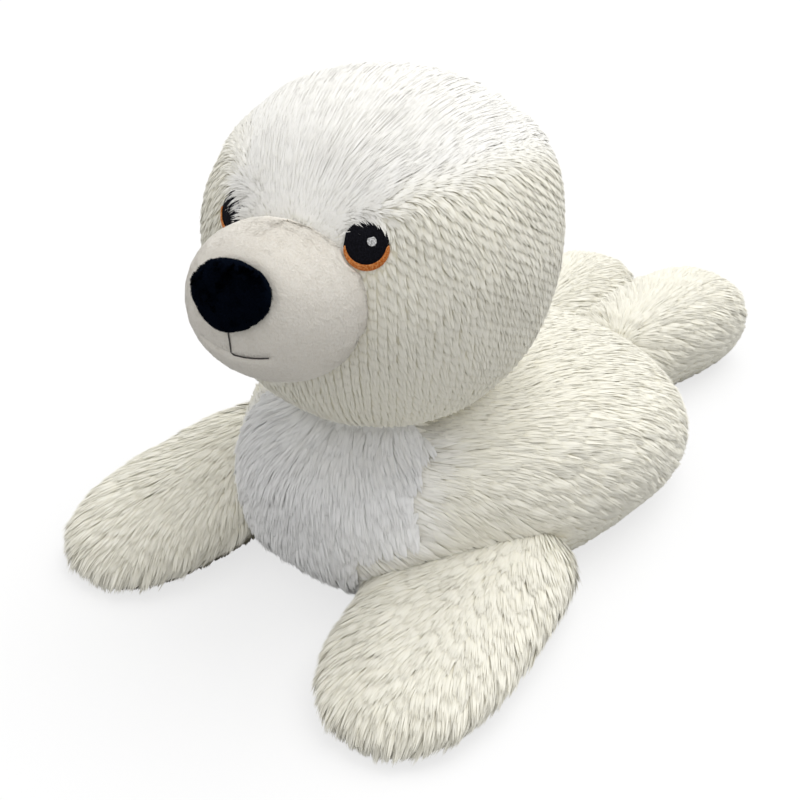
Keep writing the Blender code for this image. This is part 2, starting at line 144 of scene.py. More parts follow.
class SealColours(PropertyGroup):
    """Colours of the seal's cloths and threads"""

    cream: colour_value("Cream", "Tips of the cream pile", (0.91, 0.888, 0.79))
    # Painted shade: the deep cream of the roots stands in for the warm shade deep in the pile.
    cream_root_shade: colour_value("Deep cream", "Roots of the cream pile", (0.86, 0.82, 0.66))
    forehead: colour_value("Forehead", "Tips of the forehead's pile", (0.95, 0.94, 0.905))
    # Painted shade: the forehead's deeper root colour stands in for the shade deep in its pile.
    forehead_root_shade: colour_value("Deep forehead", "Roots of the forehead's pile", (0.91, 0.895, 0.82))
    chest: colour_value("Chest", "Tips of the chest's pile", (0.93, 0.93, 0.922))
    # Painted shade: the chest's deeper root colour stands in for the shade deep in its pile.
    chest_root_shade: colour_value("Deep chest", "Roots of the chest's pile", (0.87, 0.87, 0.85))
    velour: colour_value("Velour", "The muzzle's velour", (0.83, 0.785, 0.70))
    # Painted sheen: this lighter colour stands in for light off brushed-up nap, and also lightens the nap's tips over
    # painted shade at its roots.
    velour_sheen: colour_value("Light velour", "Velour whose nap is brushed up", (0.91, 0.88, 0.82))
    velvet: colour_value("Velvet", "The nose's velvet", (0.0024, 0.0048, 0.0115))
    pupil: colour_value("Pupil", "Black embroidery thread", (0.004, 0.004, 0.006))
    rim: colour_value("Crescent", "Orange embroidery thread", (0.52, 0.13, 0.014))
    rim_light: colour_value("Crescent's edge", "Light orange embroidery thread", (0.74, 0.33, 0.11))
    glint: colour_value("Glint", "White embroidery thread", (0.86, 0.86, 0.86))
    mouth: colour_value("Mouth", "Dark thread of the mouth", (0.045, 0.040, 0.038))
    floor: colour_value("Floor", "The pale floor", (0.90, 0.90, 0.90))


class SealStage(PropertyGroup):
    """Camera and lamps"""

    azimuth: FloatProperty(name="Azimuth", description="Camera's way round the seal", default=math.radians(38.674), subtype="ANGLE")
    elevation: FloatProperty(name="Elevation", description="Camera's height", default=math.radians(33.0), subtype="ANGLE")
    distance: length_size("Distance", "From the camera to its target", 0.6056)
    target: FloatVectorProperty(name="Target", description="What the camera looks at", default=(0.0148, -0.0862, 0.0878), subtype="XYZ")
    lens: FloatProperty(name="Lens", description="Focal length in millimetres", default=57.35)
    sky: FloatProperty(name="Sky", description="Light from all around", default=0.76)
    sun: FloatProperty(name="Key lamp", description="Strength of the high lamp", default=1.7)
    sun_softness: FloatProperty(name="Softness", description="Angle that the lamp fills", default=math.radians(50.0), subtype="ANGLE")


class Wire:
    """A node's output. Arithmetic on it adds Math nodes, or Vector Math nodes where it is a vector."""

    def __init__(self, tree, socket):
        self.tree = tree
        self.socket = socket

    def node(self, kind, inputs=None, output=0, **settings):
        """Adds a node with its settings, and sets or links its inputs."""
        made = self.tree.nodes.new(kind)
        for name, value in settings.items():
            setattr(made, name, value)
        for name, value in (inputs or {}).items():
            if isinstance(value, Wire):
                self.tree.links.new(value.socket, made.inputs[name])
            else:
                made.inputs[name].default_value = value
        return Wire(self.tree, made.outputs[output])

    def also(self, output):
        """Another output of the same node."""
        return Wire(self.tree, self.socket.node.outputs[output])

    @property
    def is_vector(self):
        return self.socket.type == "VECTOR"

    def combine(self, operation, first, second):
        vectors = [item for item in (first, second) if isinstance(item, tuple) or (isinstance(item, Wire) and item.is_vector)]
        if len(vectors) == 1 and operation == "MULTIPLY":
            number = second if vectors[0] is first else first
            return self.node("ShaderNodeVectorMath", {0: vectors[0], "Scale": number}, operation="SCALE")
        if vectors:
            return self.node("ShaderNodeVectorMath", {0: first, 1: second}, operation=operation)
        return self.node("ShaderNodeMath", {0: first, 1: second}, operation=operation)

    def __add__(self, other):
        return self.combine("ADD", self, other)

    def __radd__(self, other):
        return self.combine("ADD", other, self)

    def __sub__(self, other):
        return self.combine("SUBTRACT", self, other)

    def __rsub__(self, other):
        return self.combine("SUBTRACT", other, self)

    def __mul__(self, other):
        return self.combine("MULTIPLY", self, other)

    def __rmul__(self, other):
        return self.combine("MULTIPLY", other, self)

    def __truediv__(self, other):
        return self.combine("DIVIDE", self, other)

    def __pow__(self, other):
        return self.combine("POWER", self, other)

    def number(self, operation, other=0.0):
        """A Math node of any operation."""
        return self.node("ShaderNodeMath", {0: self, 1: other}, operation=operation)

    def vector(self, operation, other=None):
        """A Vector Math node of any operation."""
        inputs = {0: self} if other is None else {0: self, 1: other}
        output = "Value" if operation in ("DOT_PRODUCT", "LENGTH") else "Vector"
        return self.node("ShaderNodeVectorMath", inputs, output, operation=operation)

    def along(self, normal):
        """What is left of a vector in the plane across a normal."""
        return self - normal * self.vector("DOT_PRODUCT", normal)

    def mixed(self, other, share):
        """This colour mixed with another by a share."""
        return self.node("ShaderNodeMix", {0: share, 6: self, 7: other}, 2, data_type="RGBA")

    def ramp(self, low, high, to_low=0.0, to_high=1.0):
        """A smooth step from one value to another."""
        inputs = {0: self, 1: low, 2: high, 3: to_low, 4: to_high}
        return self.node("ShaderNodeMapRange", inputs, interpolation_type="SMOOTHSTEP")


def new_tree(name, sockets):
    """A Geometry Nodes tree with named inputs. Gives the tree and a wire at its first input."""
    tree = bpy.data.node_groups.new(name, "GeometryNodeTree")
    tree.interface.new_socket("Geometry", in_out="INPUT", socket_type="NodeSocketGeometry")
    for label, kind in sockets.items():
        tree.interface.new_socket(label, in_out="INPUT", socket_type=kind)
    tree.interface.new_socket("Geometry", in_out="OUTPUT", socket_type="NodeSocketGeometry")
    entry = tree.nodes.new("NodeGroupInput")
    return tree, Wire(tree, entry.outputs["Geometry"])


def finish_tree(result):
    leave = result.tree.nodes.new("NodeGroupOutput")
    result.tree.links.new(result.socket, leave.inputs["Geometry"])


def named(wire, name, kind="FLOAT"):
    return wire.node("GeometryNodeInputNamedAttribute", {"Name": name}, data_type=kind)


def stored(wire, name, value, kind="FLOAT"):
    inputs = {"Geometry": wire, "Name": name, "Value": value}
    return wire.node("GeometryNodeStoreNamedAttribute", inputs, data_type=kind, domain="POINT")


def random_vector(wire, seed, key=None):
    inputs = {0: (-1.0, -1.0, -1.0), 1: (1.0, 1.0, 1.0), "Seed": seed}
    if key is not None:
        inputs["ID"] = key
    return wire.node("FunctionNodeRandomValue", inputs, 0, data_type="FLOAT_VECTOR")


def pile_tree():
    """Locks of pile on a skin. They lean the way the skin is combed, and their tips gather in tufts."""
    sockets = {
        "Density": "NodeSocketFloat",
        "Tuft Spacing": "NodeSocketFloat",
        "Row Width": "NodeSocketFloat",
        "Row Length": "NodeSocketFloat",
        "Rows": "NodeSocketFloat",
        "Gather": "NodeSocketFloat",
        "Stray": "NodeSocketFloat",
        "Width": "NodeSocketFloat",
        "Seed": "NodeSocketInt",
        "Lock": "NodeSocketObject",
        "Material": "NodeSocketMaterial",
    }
    tree, skin = new_tree("plush pile", sockets)
    seed = skin.also("Seed")
    cover = named(skin, "cover")
    scatter = {"Mesh": skin, "Density": skin.also("Density") * cover, "Seed": seed}
    roots = skin.node("GeometryNodeDistributePointsOnFaces", scatter, distribute_method="RANDOM")
    normal = roots.also("Normal")
    scatter = {
        "Mesh": skin,
        "Distance Min": skin.also("Tuft Spacing"),
        "Density Max": 300000.0,
        "Density Factor": cover,
        "Seed": seed + 1.0,
    }
    tufts = skin.node("GeometryNodeDistributePointsOnFaces", scatter, distribute_method="POISSON")
    place = skin.node("GeometryNodeInputPosition")
    nearest = skin.node("GeometryNodeSampleNearest", {"Geometry": tufts, "Sample Position": place}, domain="POINT")
    centre = skin.node(
        "GeometryNodeSampleIndex",
        {"Geometry": tufts, "Value": place, "Index": nearest},
        data_type="FLOAT_VECTOR",
        domain="POINT",
    )
    scattered = centre - place

    # Rows of tufts, each row a half tuft ahead of the one beside it
    across = named(skin, "grain_across")
    down = named(skin, "grain_down")
    width = skin.also("Row Width")
    length = skin.also("Row Length")
    row = (across / width).number("ROUND")
    shift = (row.number("FLOORED_MODULO", 2.0)) * 0.5
    step = (down / length + shift).number("ROUND")
    sideways = named(skin, "grain", "FLOAT_VECTOR")
    along = sideways.vector("CROSS_PRODUCT", normal)
    in_rows = sideways * ((row * width - across) * 0.6) + along * ((step - shift) * length - down)

    rows = skin.also("Rows")
    offset = in_rows * rows + scattered * (1.0 - rows)
    key = nearest * (1.0 - rows) + (row * 613.0 + step) * rows

    points = stored(roots, "root", place, "FLOAT_VECTOR")
    points = stored(points, "skin_normal", normal, "FLOAT_VECTOR")
    points = stored(points, "offset", offset.along(normal), "FLOAT_VECTOR")
    points = stored(points, "tuft", random_vector(skin, seed, key), "FLOAT_VECTOR")
    points = stored(points, "lock", random_vector(skin, seed + 2.0), "FLOAT_VECTOR")
    shape = skin.node("GeometryNodeObjectInfo", {"Object": skin.also("Lock")}, "Geometry", transform_space="ORIGINAL")
    locks = skin.node("GeometryNodeInstanceOnPoints", {"Points": points, "Instance": shape})
    locks = skin.node("GeometryNodeRealizeInstances", {"Geometry": locks})

    up = named(skin, "skin_normal", "FLOAT_VECTOR")
    tuft = named(skin, "tuft", "FLOAT_VECTOR")
    lock = named(skin, "lock", "FLOAT_VECTOR")
    along = named(skin, "along")
    across = named(skin, "across")
    comb = named(skin, "comb", "FLOAT_VECTOR")
    lean = (comb + (tuft + lock * 0.7) * skin.also("Stray")).along(up)
    parts = {"tuft": tuft.node("ShaderNodeSeparateXYZ", {0: tuft}), "lock": lock.node("ShaderNodeSeparateXYZ", {0: lock})}
    slope = comb.vector("LENGTH").number("MINIMUM", 0.997)
    lift = (1.0 - slope * slope).number("SQRT") * (1.0 + parts["tuft"].also(1) * 0.2)
    lift = lift + parts["lock"].also(2).ramp(0.8, 1.0) * 0.10
    way = lean.vector("NORMALIZE")
    even = 1.0 - rows * 0.8
    reach = named(skin, "pile") * (1.0 + (parts["tuft"] + parts["lock"]) * 0.16 * even)
    rise = lift * along * (1.0 - along * 0.25)
    path = up * (reach * rise) + way * (reach * slope * along ** 1.35)
    path = path + up * (named(skin, "droop") * along * along)
    path = path + named(skin, "offset", "FLOAT_VECTOR") * (along ** 0.8 * skin.also("Gather"))
    side = way.vector("CROSS_PRODUCT", up) + up * (parts["lock"].also(1) * 0.15)
    breadth = across * skin.also("Width") * (1.0 + parts["lock"].also(2) * 0.3)
    spot = named(skin, "root", "FLOAT_VECTOR") + path + side * breadth
    flat = spot.node("ShaderNodeSeparateXYZ", {0: spot})
    height = flat.also(2).number("MAXIMUM", 0.0004)
    spot = spot.node("ShaderNodeCombineXYZ", {0: flat, 1: flat.also(1), 2: height})
    locks = skin.node("GeometryNodeSetPosition", {"Geometry": locks, "Position": spot})
    locks = stored(locks, "tint", parts["tuft"].also(2) * 0.6 + parts["lock"] * 0.4)
    both = skin.node("GeometryNodeJoinGeometry")
    for item in (locks, skin):
        tree.links.new(item.socket, both.socket.node.inputs[0])
    both = skin.node("GeometryNodeRealizeInstances", {"Geometry": both})
    finish_tree(skin.node("GeometryNodeSetMaterial", {"Geometry": both, "Material": skin.also("Material")}))
    return tree


def thread_tree():
    """Round threads along the edges of a wire mesh."""
    sockets = {"Radius": "NodeSocketFloat", "Sides": "NodeSocketInt", "Material": "NodeSocketMaterial"}
    tree, wires = new_tree("threads", sockets)
    curves = wires.node("GeometryNodeMeshToCurve", {"Mesh": wires})
    circle = wires.node("GeometryNodeCurvePrimitiveCircle", {"Resolution": wires.also("Sides"), "Radius": wires.also("Radius")})
    tubes = wires.node("GeometryNodeCurveToMesh", {"Curve": curves, "Profile Curve": circle, "Fill Caps": True})
    tubes = wires.node("GeometryNodeSetShadeSmooth", {"Geometry": tubes})
    tubes = wires.node("GeometryNodeRealizeInstances", {"Geometry": tubes})
    finish_tree(wires.node("GeometryNodeSetMaterial", {"Geometry": tubes, "Material": wires.also("Material")}))
    return tree


def cached_tree(name, builder):
    return bpy.data.node_groups.get(name) or builder()


def lock_shape(name, widest):
    """One lock to be repeated: a flat spindle that is widest at a share of its length."""
    shape = bmesh.new()
    across = shape.verts.layers.float.new("across")
    along = shape.verts.layers.float.new("along")
    corners = [(-0.5, widest), (0.5, widest), (0.0, 1.0)]
    faces = [(0, 1, 2)]
    if widest > 0.0:
        corners.append((0.0, 0.0))
        faces.append((1, 0, 3))
    verts = []
    for side, share in corners:
        vert = shape.verts.new((side, share, 0.0))
        vert[across] = side
        vert[along] = share
        verts.append(vert)
    for face in faces:
        shape.faces.new([verts[index] for index in face]).smooth = True
    mesh = bpy.data.meshes.new(name)
    shape.to_mesh(mesh)
    shape.free()
    return bpy.data.objects.new(name, mesh)


LOCKS = {"long": lock_shape("long lock", 0.45), "short": lock_shape("short lock", 0.0)}


def evaluated(item):
    """The plain mesh that an object's modifiers give. The object itself is removed."""
    graph = bpy.context.evaluated_depsgraph_get()
    mesh = bpy.data.meshes.new_from_object(item.evaluated_get(graph))
    bpy.data.objects.remove(item, do_unlink=True)
    return mesh


def linked(name, mesh):
    item = bpy.data.objects.new(name, mesh)
    bpy.context.scene.collection.objects.link(item)
    return item


def run_tree(item, tree, values):
    """Runs a Geometry Nodes tree on an object and gives the plain mesh."""
    modifier = item.modifiers.new(tree.name, "NODES")
    modifier.node_group = tree
    for socket in tree.interface.items_tree:
        if socket.in_out == "INPUT" and socket.name in values:
            modifier[socket.identifier] = values[socket.name]
    return evaluated(item)


def places(mesh):
    spots = np.empty(len(mesh.vertices) * 3)
    mesh.vertices.foreach_get("co", spots)
    return spots.reshape(-1, 3)


def normals(mesh):
    ways = np.empty(len(mesh.vertices) * 3)
    mesh.vertex_normals.foreach_get("vector", ways)
    return ways.reshape(-1, 3)


def place_all(mesh, spots):
    mesh.vertices.foreach_set("co", spots.astype(np.float32).ravel())
    mesh.update()


def step(values, low, high):
    """0 under low, 1 over high, and smooth between them."""
    share = np.clip((values - low) / (high - low), 0.0, 1.0)
    return share * share * (3.0 - 2.0 * share)


def unit(vectors):
    return vectors / np.maximum(np.linalg.norm(vectors, axis=1, keepdims=True), 1e-9)


def flattened(vectors, ways):
    """Vectors with what they have along the normals taken out."""
    return vectors - ways * np.sum(vectors * ways, axis=1, keepdims=True)


def is_inside(spot, tree):
    """Whether a point lies in a solid: a ray from it then leaves the solid once more than it enters."""
    way = Vector((0.31, 0.22, 0.92)).normalized()
    crossings = 0
    hit = tree.ray_cast(spot, way)[0]
    while hit is not None:
        crossings += 1
        hit = tree.ray_cast(hit + way * MERGE, way)[0]
    return crossings % 2 == 1


def distances(spots, node):
    """How far points lie outside a solid. Inside it, the distance is negative."""
    tree = TREES[node]
    found = np.empty(len(spots))
    for index, spot in enumerate(spots):
        distance = tree.find_nearest(Vector(spot))[3]
        inside = distance < 0.03 and is_inside(Vector(spot), tree)
        found[index] = -distance if inside else distance
    return found


def drift(spots, scale):
    """Smooth random vectors over space."""
    return np.array([noise.noise_vector(Vector(spot) / scale) for spot in spots])


def write(mesh, name, kind, values):
    attribute = mesh.attributes.new(name, kind, "POINT")
    field = "value" if kind == "FLOAT" else "vector"
    attribute.data.foreach_set(field, np.asarray(values, dtype=np.float32).ravel())


def swollen_form(name, node, joined, reach, voxel, rounds):
    """A smooth closed form from a solid, lengthened into the neighbours that it is sewn to."""
    form = node_mesh(node)
    for vertex in form.verts:
        for other in joined:
            near, way, _, distance = TREES[other].find_nearest(vertex.co)
            if distance < 0.0009:
                vertex.co -= way * reach
                break
    mesh = bpy.data.meshes.new(name)
    form.to_mesh(mesh)
    form.free()
    item = linked(name, mesh)
    remesh = item.modifiers.new("even faces", "REMESH")
    remesh.mode = "VOXEL"
    remesh.voxel_size = voxel
    smooth = item.modifiers.new("soften", "SMOOTH")
    smooth.factor = 0.5
    smooth.iterations = rounds
    return evaluated(item)


class Skin:
    """The backing of a plush piece, with the fields that its pile follows."""

    def __init__(self, name, node, joined=(), voxel=0.0042, depth=0.0, lumps=0.0012):
        self.mesh = swollen_form(name, node, joined, 0.012, voxel, 6)
        self.node = node
        self.outer = places(self.mesh)
        self.ways = normals(self.mesh)
        under = step(-self.ways[:, 2], 0.55, 0.9) * step(0.008 - self.outer[:, 2], 0.0, 0.004)
        self.under = under
        sink = depth * (1.0 - under)
        for side in SIDES:
            if node == "head":
                away = np.linalg.norm(self.outer - middle_of(f"{side}_eye_pupil"), axis=1)
                sink = sink * step(away, 0.0075, 0.016)
        rough = drift(self.outer, 0.028)[:, :1] * lumps * (1.0 - under[:, None])
        spots = self.outer - self.ways * sink[:, None] + self.ways * rough
        spots[:, 2] = np.maximum(spots[:, 2], 0.0012)
        place_all(self.mesh, spots)
        self.ways = normals(self.mesh)
        self.cover = np.ones(len(spots))

    def droop(self, comb, pile):
        """How far the surface has fallen away under the tips of the pile."""
        tips = self.outer + unit(comb) * pile[:, None]
        fallen = np.array([TREES[self.node].find_nearest(Vector(tip))[0] for tip in tips]) - tips
        return np.clip(np.sum(fallen * self.ways, axis=1), -0.5 * pile, 0.2 * pile)

    def dress(self, comb, pile, cover, grain=None, pale=0.0):
        """Writes the fields. Pale is 1 where the cream pile turns white beside a white panel."""
        comb = flattened(comb, self.ways)
        write(self.mesh, "comb", "FLOAT_VECTOR", comb)
        write(self.mesh, "pile", "FLOAT", pile)
        write(self.mesh, "cover", "FLOAT", cover)
        write(self.mesh, "droop", "FLOAT", self.droop(comb, pile))
        write(self.mesh, "pale", "FLOAT", pale + np.zeros(len(pile)))
        if grain is not None:
            sideways, across, down = grain
            write(self.mesh, "grain", "FLOAT_VECTOR", sideways)
            write(self.mesh, "grain_across", "FLOAT", across)
            write(self.mesh, "grain_down", "FLOAT", down)


def soft_shading(mesh, bulge):
    """Turns the locks' shading to that of a soft round tuft on the skin under them."""
    own = normals(mesh)
    skin = np.zeros(len(mesh.vertices) * 3)
    mesh.attributes["skin_normal"].data.foreach_get("vector", skin)
    skin = skin.reshape(-1, 3)
    has = np.linalg.norm(skin, axis=1, keepdims=True) > 0.5
    root = np.zeros(len(mesh.vertices) * 3)
    mesh.attributes["root"].data.foreach_get("vector", root)
    beside_floor = step(0.045 - root.reshape(-1, 3)[:, 2], 0.0, 0.02)
    skin[:, 2] += np.maximum(0.05 - skin[:, 2], 0.0) * beside_floor
    offset = np.zeros(len(mesh.vertices) * 3)
    mesh.attributes["offset"].data.foreach_get("vector", offset)
    turned = unit(own * 0.04 + skin * 0.96 - offset.reshape(-1, 3) * bulge)
    mesh.normals_split_custom_set_from_vertices(np.where(has, turned, own).tolist())


def grow_pile(skin, piece, material, density, lock="long", rows=0.0, gather=0.35, stray=0.07, width=0.001, tuft=None, bulge=90.0):
    """Grows the pile on a skin and gives the finished piece."""
    sizes = bpy.context.scene.seal_sizes
    values = {
        "Density": density * 10000.0,
        "Tuft Spacing": tuft or sizes.tuft_spacing,
        "Row Width": sizes.row_width,
        "Row Length": sizes.row_length,
        "Rows": rows,
        "Gather": gather,
        "Stray": stray,
        "Width": width,
        "Seed": sizes.seed,
        "Lock": LOCKS[lock],
        "Material": material,
    }
    mesh = run_tree(linked(piece, skin.mesh), cached_tree("plush pile", pile_tree), values)
    mesh.shade_smooth()
    soft_shading(mesh, bulge)
    for name in ("root", "skin_normal", "offset", "tuft", "lock", "comb", "pile", "cover", "across", "droop"):
        if name in mesh.attributes:
            mesh.attributes.remove(mesh.attributes[name])
    return linked(piece, mesh)


def settle(piece, nodes):
    """Puts a finished piece in the frame."""
    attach(piece, "root")
    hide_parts(*nodes)


def new_material(name, roughness, sheen=0.0, sheen_tint=(1.0, 1.0, 1.0)):
    """A cloth's material, with a wire at its shader for the nodes that feed it."""
    material = bpy.data.materials.new(name)
    material.use_nodes = True
    shader = material.node_tree.nodes["Principled BSDF"]
    shader.inputs["Roughness"].default_value = roughness
    shader.inputs["Specular IOR Level"].default_value = 0.15
    shader.inputs["Sheen Weight"].default_value = sheen
    shader.inputs["Sheen Roughness"].default_value = 0.5
    shader.inputs["Sheen Tint"].default_value = (*sheen_tint, 1.0)
    return material, shader, Wire(material.node_tree, shader.outputs[0])


def opaque(colour):
    return (*colour, 1.0)


def feed(material, wire, shader, socket):
    material.node_tree.links.new(wire.socket, shader.inputs[socket])


def pile_material(name, tip, root_shade, pale=None, mottle=0.5):
    """Pile whose roots are painted a deeper colour as painted shade deep between the locks, and whose colour varies
    from tuft to tuft.
    """
    if name in bpy.data.materials:
        return bpy.data.materials[name]
    material, shader, start = new_material(name, 0.85, sheen=0.12)
    along = start.node("ShaderNodeAttribute", output="Fac", attribute_name="along")
    tint = start.node("ShaderNodeAttribute", output="Fac", attribute_name="tint")
    spots = start.node("ShaderNodeTexCoord", output="Object")
    broad = start.node("ShaderNodeTexNoise", {"Vector": spots, "Scale": 26.0, "Detail": 2.0})
    # Painted shade: the roots take the deeper colour, standing in for the shade deep between the locks.
    depth = along.ramp(-0.15, 0.75) * (1.0 - broad.ramp(0.35, 0.7) * 0.12 * mottle)
    depth = (depth + tint * 0.10).number("MINIMUM", 1.0)
    base = start.node("ShaderNodeMix", {0: depth, 6: opaque(root_shade), 7: opaque(tip)}, 2, data_type="RGBA")
    if pale is not None:
        turned = start.node("ShaderNodeAttribute", output="Fac", attribute_name="pale")
        base = base.mixed(opaque(pale), turned)
    feed(material, base, shader, "Base Color")
    return material


def head_axes(spots):
    """Places as distances to the head's left, towards its back and above its middle."""
    away = spots - HEAD_MIDDLE
    return away @ HEAD_LEFT, -(away @ HEAD_FRONT), away[:, 2]


def eye_distance(spots):
    """Distance to the nearer eye."""
    near = [np.linalg.norm(spots - middle_of(f"{side}_eye_pupil"), axis=1) for side in SIDES]
    return np.minimum(*near)


def swept_back(skin):
    """The way that the forehead's pile is brushed: up and back from the bridge of the nose."""
    bridge = HEAD_MIDDLE + HEAD_FRONT * HEAD_RADIUS + UP * HEAD_RADIUS * 0.25
    return unit(skin.outer - bridge) + 0.18 * drift(skin.outer, 0.030)


def lids(skin, comb, pile):
    """Combs the pile above the eyes round and over them. It hides more of the right eye, at its inner side."""
    comb = comb.copy()
    pile = pile.copy()
    for side, inward, round_it, length in (("left", 0.0, 0.9, 0.0056), ("right", 1.0, 0.0, 0.0098)):
        eye = middle_of(f"{side}_eye_pupil")
        apart = skin.outer - eye
        away = np.linalg.norm(apart, axis=1)
        lid = unit((UP + inward * HEAD_LEFT)[None])[0]
        share = step(0.0155 - away, 0.0, 0.005) * step(apart @ lid / away, 0.0, 0.45)
        circle = np.cross(unit(apart), skin.ways) * SIDES[side] * round_it
        over = unit(flattened(circle + 0.4 * DOWN - 0.6 * lid - 60.0 * apart, skin.ways))
        comb = comb * (1.0 - share[:, None]) + over * share[:, None]
        comb = unit(flattened(comb, skin.ways)) * 0.99
        pile = pile * (1.0 - share) + length * share
    return comb, pile


def forehead_mask(spots):
    return step(0.0045 - np.abs(distances(spots, "forehead_panel")), 0.0, 0.003)


def head_skin(name, depth):
    return Skin(name, "head", voxel=0.0042, depth=depth)


class SEAL_OT_head(Operator):
    """Makes the head with the ribbed plush of its sides and back"""

    bl_idname = "seal.head"
    bl_label = "Head"

    def execute(self, context):
        sizes = context.scene.seal_sizes
        colours = context.scene.seal_colours
        skin = head_skin("head skin", sizes.skin_depth)
        across, behind, above = head_axes(skin.outer)
        ways = skin.ways
        outward = unit(np.stack((skin.outer[:, 0] - HEAD_MIDDLE[0], skin.outer[:, 1] - HEAD_MIDDLE[1], 0.0 * across), axis=1))
        back = -HEAD_FRONT
        comb = 0.85 * DOWN + 0.30 * back + 0.10 * outward + 0.12 * drift(skin.outer, 0.022)
        eyes = eye_distance(skin.outer)
        muzzle = distances(skin.outer, "muzzle")
        body = distances(skin.outer, "body")
        near = 1.0 - step(distances(skin.outer, "forehead_panel"), 0.001, 0.018)
        comb = comb * (1.0 - near[:, None]) + swept_back(skin) * near[:, None]
        comb = unit(flattened(comb, ways)) * (0.98 + 0.012 * near[:, None])
        pile = sizes.cheek_pile * (0.35 + 0.65 * step(eyes, 0.009, 0.016)) * (0.6 + 0.4 * step(muzzle, 0.0, 0.010))
        comb, pile = lids(skin, comb, pile)
        cover = (1.0 - forehead_mask(skin.outer)) * step(eyes, 0.0085, 0.0105) * step(muzzle, -0.001, 0.001)
        cover *= step(body, -0.010, -0.004)
        angle = np.arctan2(across, -behind)
        sideways = np.cos(angle)[:, None] * HEAD_LEFT - np.sin(angle)[:, None] * HEAD_FRONT
        sideways = unit(flattened(sideways, ways))
        grain = (sideways, angle * HEAD_RADIUS, -above)
        skin.dress(comb, pile, cover, grain, near * 0.85)
        material = pile_material("cream plush", colours.cream, colours.cream_root_shade, colours.forehead)
        piece = grow_pile(
            skin, "head_plush", material, sizes.plush_density, rows=1.0, gather=0.8, stray=0.08, width=sizes.blade_width
        )
        settle(piece, ["head"])
        return {"FINISHED"}


class SEAL_OT_forehead(Operator):
    """Makes the forehead panel with its long silky pile"""

    bl_idname = "seal.forehead"
    bl_label = "Forehead"

    def execute(self, context):
        sizes = context.scene.seal_sizes
        colours = context.scene.seal_colours
        skin = head_skin("forehead skin", sizes.skin_depth - 0.0003)
        mask = forehead_mask(skin.outer)
        comb = unit(flattened(swept_back(skin), skin.ways)) * 0.995
        eyes = eye_distance(skin.outer)
        muzzle = distances(skin.outer, "muzzle")
        pile = sizes.forehead_pile * (0.55 + 0.45 * step(eyes, 0.010, 0.024)) * (0.45 + 0.55 * step(muzzle, 0.0, 0.018))
        pile *= 0.45 + 0.55 * step(border_distance(skin.outer, mask), 0.0, 0.016)
        comb, pile = lids(skin, comb, pile)
        cover = mask * step(eyes, 0.0085, 0.0105) * step(muzzle, -0.001, 0.001)
        skin.dress(comb, pile, cover)
        keep_faces(skin.mesh, mask > 0.02)
        material = pile_material("white plush", colours.forehead, colours.forehead_root_shade)
        piece = grow_pile(
            skin, "forehead_plush", material, sizes.silky_density, gather=0.15, stray=0.05, width=sizes.silky_width, bulge=25.0
        )
        settle(piece, ["forehead_panel"])
        return {"FINISHED"}


def border_distance(spots, mask):
    """How far points of a panel lie inside its border."""
    outside = spots[mask < 0.5]
    tree = KDTree(len(outside))
    for index, spot in enumerate(outside):
        tree.insert(spot, index)
    tree.balance()
    return np.array([tree.find(spot)[2] for spot in spots])


def keep_faces(mesh, keep):
    """Removes the vertices that a mask leaves out."""
    cut = bmesh.new()
    cut.from_mesh(mesh)
    cut.verts.ensure_lookup_table()
    bmesh.ops.delete(cut, geom=[vert for vert, kept in zip(cut.verts, keep) if not kept], context="VERTS")
    cut.to_mesh(mesh)
    cut.free()


class SEAL_OT_body(Operator):
    """Makes the body's long cream plush"""

    bl_idname = "seal.body"
    bl_label = "Body"

    def execute(self, context):
        sizes = context.scene.seal_sizes
        colours = context.scene.seal_colours
        skin = Skin("body skin", "body", joined=("head",), voxel=0.005, depth=sizes.skin_depth)
        spots = skin.outer
        low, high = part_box("body")
        aside = spots[:, :1] / high.x
        comb = 0.70 * BACK + 0.55 * DOWN + 0.45 * aside * LEFT + 0.22 * drift(spots, 0.024)
        comb = unit(flattened(comb, skin.ways)) * (0.993 - 0.3 * skin.under[:, None])
        low = step(-skin.ways[:, 2], -0.15, 0.4)
        pile = sizes.body_pile * (1.0 - 0.82 * low)
        cover = step(distances(spots, "head"), 0.001, 0.006) * (1.0 - 0.78 * skin.under)
        cover *= 1.0 - step(0.0045 - np.abs(distances(spots, "chest_panel")), 0.0, 0.003)
        for side in SIDES:
            cover *= step(distances(spots, f"{side}_front_flipper"), 0.0, 0.002)
            cover *= step(distances(spots, f"{side}_hind_flipper"), 0.0, 0.002)
        pale = 0.7 * (1.0 - step(distances(spots, "chest_panel"), 0.001, 0.016))
        skin.dress(comb, pile, cover, pale=pale)
        material = pile_material("cream plush", colours.cream, colours.cream_root_shade, colours.forehead)
        piece = grow_pile(skin, "body_plush", material, sizes.plush_density, width=sizes.blade_width)
        settle(piece, ["body"])
        return {"FINISHED"}


class SEAL_OT_chest(Operator):
    """Makes the white plush of the chest"""

    bl_idname = "seal.chest"
    bl_label = "Chest"

    def execute(self, context):
        sizes = context.scene.seal_sizes
        colours = context.scene.seal_colours
        skin = Skin("chest skin", "body", joined=("head",), voxel=0.004, depth=sizes.skin_depth - 0.0004)
        spots = skin.outer
        mask = step(0.0045 - np.abs(distances(spots, "chest_panel")), 0.0, 0.003)
        comb = 0.95 * DOWN + 9.0 * spots[:, :1] * LEFT - 0.15 * BACK + 0.30 * drift(spots, 0.020)
        comb = unit(flattened(comb, skin.ways)) * 0.99
        pile = sizes.chest_pile * (0.6 + 0.4 * step(border_distance(spots, mask), 0.0, 0.012))
        cover = mask * step(distances(spots, "head"), 0.001, 0.006)
        skin.dress(comb, pile, cover)
        keep_faces(skin.mesh, mask > 0.02)
        material = pile_material("chest plush", colours.chest, colours.chest_root_shade)
        piece = grow_pile(skin, "chest_plush", material, sizes.plush_density * 1.6, width=sizes.blade_width)
        settle(piece, ["chest_panel"])
        return {"FINISHED"}


